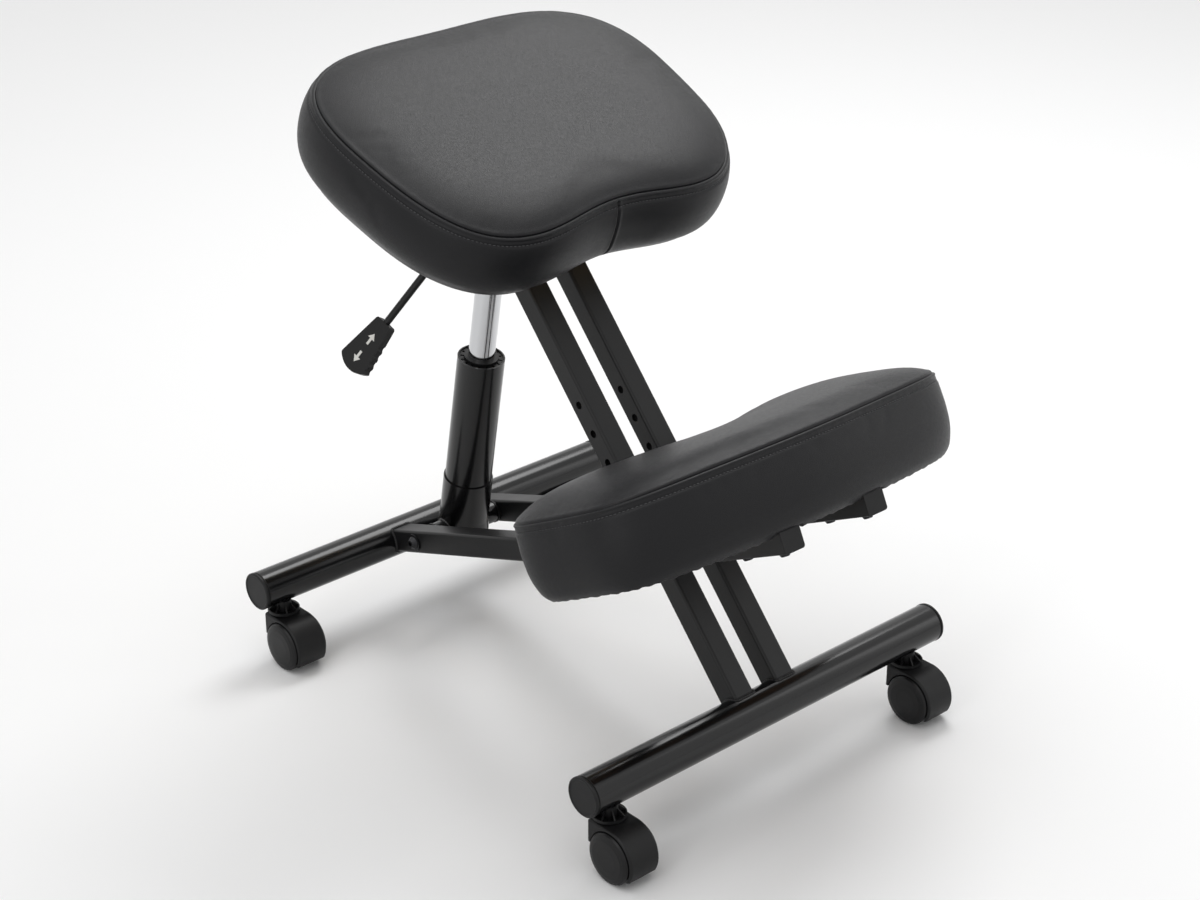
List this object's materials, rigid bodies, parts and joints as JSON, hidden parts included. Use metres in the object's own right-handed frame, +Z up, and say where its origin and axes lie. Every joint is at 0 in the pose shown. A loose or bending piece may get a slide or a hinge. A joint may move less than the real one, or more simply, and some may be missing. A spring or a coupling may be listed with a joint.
{
  "type": "kneeling chair",
  "caption": "Kneeling chair with a padded seat and knee pad on a crossed steel frame, gas lift column, height lever and swivel casters.",
  "frame": {"origin": "on the floor under the middle of the chair's footprint box", "axes": "+Z up, -Y towards the knee pad (the way the sitter faces), +X to the sitter's left, the lever is on the -X side"},
  "size_m": [0.476, 0.6154, 0.6541],
  "materials": {
    "gloss_black_enamel": "gloss baked enamel on round steel tube",
    "satin_black_powder_coat": "satin powder coat on square steel tube",
    "black_nylon": "moulded nylon with a fine matt texture",
    "black_wheel_nylon": "moulded nylon wheel",
    "zinc_plated_steel": "bright zinc plate",
    "black_oxide_steel": "black oxide on steel",
    "hard_chrome": "ground hard chrome",
    "black_rubber": "moulded rubber",
    "birch_plywood": "bare birch plywood",
    "black_faux_leather": "polyurethane faux leather, fine grain, over moulded foam"
  },
  "bodies": {
    "rear_frame": {"rear_tube": "gloss_black_enamel", "rear_cap_left": "black_nylon", "rear_cap_right": "black_nylon", "arm_left": "satin_black_powder_coat", "arm_right": "satin_black_powder_coat", "rail_plugs": "black_nylon", "frame_pivot_bolt": "black_oxide_steel", "column_pivot_bolt": "black_oxide_steel", "frame_nuts": "black_oxide_steel", "frame_washers": "black_oxide_steel", "beam_washers": "satin_black_powder_coat", "knee_board": "birch_plywood", "knee_cushion": "black_faux_leather", "knee_screws": "zinc_plated_steel", "rear_stem_sockets": "black_nylon"},
    "front_frame": {"front_tube": "gloss_black_enamel", "front_cap_left": "black_nylon", "front_cap_right": "black_nylon", "beam_left": "satin_black_powder_coat", "beam_right": "satin_black_powder_coat", "beam_spacers": "satin_black_powder_coat", "front_stem_sockets": "black_nylon"},
    "gas_column": {"column_socket": "gloss_black_enamel", "column_pivot_tube": "gloss_black_enamel", "pivot_bushes": "black_nylon", "column_tube": "gloss_black_enamel", "guide_bush": "black_nylon", "piston_rod": "zinc_plated_steel", "rod_clip": "zinc_plated_steel", "column_buffer": "black_rubber"},
    "seat_post": {"chrome_cylinder": "hard_chrome", "cylinder_cap": "zinc_plated_steel", "cylinder_hub": "satin_black_powder_coat", "seat_bracket": "satin_black_powder_coat", "seat_pivot_bolt": "black_oxide_steel", "seat_pivot_nut": "black_oxide_steel", "seat_board": "birch_plywood", "seat_cushion": "black_faux_leather", "seat_bolts": "zinc_plated_steel", "lever_pivot_pin": "zinc_plated_steel"},
    "release_pin": {"release_pin": "zinc_plated_steel"},
    "lever": {"lever_rod": "satin_black_powder_coat", "lever_paddle": "black_nylon"},
    "caster_front_left": {"caster_hood_front_left": "black_nylon", "caster_pins_front_left": "zinc_plated_steel"},
    "wheel_left_of_front_left": {"wheel_left_of_front_left": "black_wheel_nylon"},
    "wheel_right_of_front_left": {"wheel_right_of_front_left": "black_wheel_nylon"},
    "caster_front_right": {"caster_hood_front_right": "black_nylon", "caster_pins_front_right": "zinc_plated_steel"},
    "wheel_left_of_front_right": {"wheel_left_of_front_right": "black_wheel_nylon"},
    "wheel_right_of_front_right": {"wheel_right_of_front_right": "black_wheel_nylon"},
    "caster_rear_left": {"caster_hood_rear_left": "black_nylon", "caster_pins_rear_left": "zinc_plated_steel"},
    "wheel_left_of_rear_left": {"wheel_left_of_rear_left": "black_wheel_nylon"},
    "wheel_right_of_rear_left": {"wheel_right_of_rear_left": "black_wheel_nylon"},
    "caster_rear_right": {"caster_hood_rear_right": "black_nylon", "caster_pins_rear_right": "zinc_plated_steel"},
    "wheel_left_of_rear_right": {"wheel_left_of_rear_right": "black_wheel_nylon"},
    "wheel_right_of_rear_right": {"wheel_right_of_rear_right": "black_wheel_nylon"}
  },
  "joints": [
    {"name": "seat_lift", "type": "slide", "parent": "gas_column", "child": "seat_post", "axis": [0, -0.1771, 0.9842], "range_m": [-0.08, 0]},
    {"name": "frame_fold", "type": "hinge", "parent": "rear_frame", "child": "front_frame", "pos_m": [0, -0.10429, 0.22549], "axis": [1, 0, 0], "range_deg": [-15.2, 0]},
    {"name": "column_tilt", "type": "hinge", "parent": "rear_frame", "child": "gas_column", "pos_m": [0, 0.23595, 0.10746], "axis": [1, 0, 0], "range_deg": [-8.4, 0]},
    {"name": "lever_lift", "type": "hinge", "parent": "seat_post", "child": "lever", "pos_m": [-0.031, 0.15265, 0.51678], "axis": [0, 0.9331, 0.3595], "range_deg": [0, 5.7], "stiffness_Nm_per_rad": 4, "springref_deg": -20.05},
    {"name": "pin_press", "type": "slide", "parent": "seat_post", "child": "release_pin", "axis": [0, -0.1771, 0.9842], "range_m": [-0.0034, 0], "stiffness_N_per_m": 400, "springref_m": 0.004},
    {"name": "swivel_front_left", "type": "hinge", "parent": "front_frame", "child": "caster_front_left", "pos_m": [-0.205, -0.22536, 0.0696], "axis": [0, 0, 1], "continuous": true},
    {"name": "roll_left_of_front_left", "type": "hinge", "parent": "caster_front_left", "child": "wheel_left_of_front_left", "pos_m": [-0.205, -0.24561, 0.026], "axis": [1, 0, 0], "continuous": true},
    {"name": "roll_right_of_front_left", "type": "hinge", "parent": "caster_front_left", "child": "wheel_right_of_front_left", "pos_m": [-0.205, -0.24561, 0.026], "axis": [1, 0, 0], "continuous": true},
    {"name": "swivel_front_right", "type": "hinge", "parent": "front_frame", "child": "caster_front_right", "pos_m": [0.205, -0.22536, 0.0696], "axis": [0, 0, 1], "continuous": true},
    {"name": "roll_left_of_front_right", "type": "hinge", "parent": "caster_front_right", "child": "wheel_left_of_front_right", "pos_m": [0.205, -0.24561, 0.026], "axis": [1, 0, 0], "continuous": true},
    {"name": "roll_right_of_front_right", "type": "hinge", "parent": "caster_front_right", "child": "wheel_right_of_front_right", "pos_m": [0.205, -0.24561, 0.026], "axis": [1, 0, 0], "continuous": true},
    {"name": "swivel_rear_left", "type": "hinge", "parent": "rear_frame", "child": "caster_rear_left", "pos_m": [-0.205, 0.28744, 0.0696], "axis": [0, 0, 1], "continuous": true},
    {"name": "roll_left_of_rear_left", "type": "hinge", "parent": "caster_rear_left", "child": "wheel_left_of_rear_left", "pos_m": [-0.205, 0.26719, 0.026], "axis": [1, 0, 0], "continuous": true},
    {"name": "roll_right_of_rear_left", "type": "hinge", "parent": "caster_rear_left", "child": "wheel_right_of_rear_left", "pos_m": [-0.205, 0.26719, 0.026], "axis": [1, 0, 0], "continuous": true},
    {"name": "swivel_rear_right", "type": "hinge", "parent": "rear_frame", "child": "caster_rear_right", "pos_m": [0.205, 0.28744, 0.0696], "axis": [0, 0, 1], "continuous": true},
    {"name": "roll_left_of_rear_right", "type": "hinge", "parent": "caster_rear_right", "child": "wheel_left_of_rear_right", "pos_m": [0.205, 0.26719, 0.026], "axis": [1, 0, 0], "continuous": true},
    {"name": "roll_right_of_rear_right", "type": "hinge", "parent": "caster_rear_right", "child": "wheel_right_of_rear_right", "pos_m": [0.205, 0.26719, 0.026], "axis": [1, 0, 0], "continuous": true}
  ],
  "couplings": [
    {"joint": "frame_fold", "follows": "seat_lift", "rad_per_m": 3.2989},
    {"joint": "column_tilt", "follows": "seat_lift", "rad_per_m": 1.8287},
    {"joint": "pin_press", "follows": "lever_lift", "m_per_rad": -0.033}
  ]
}
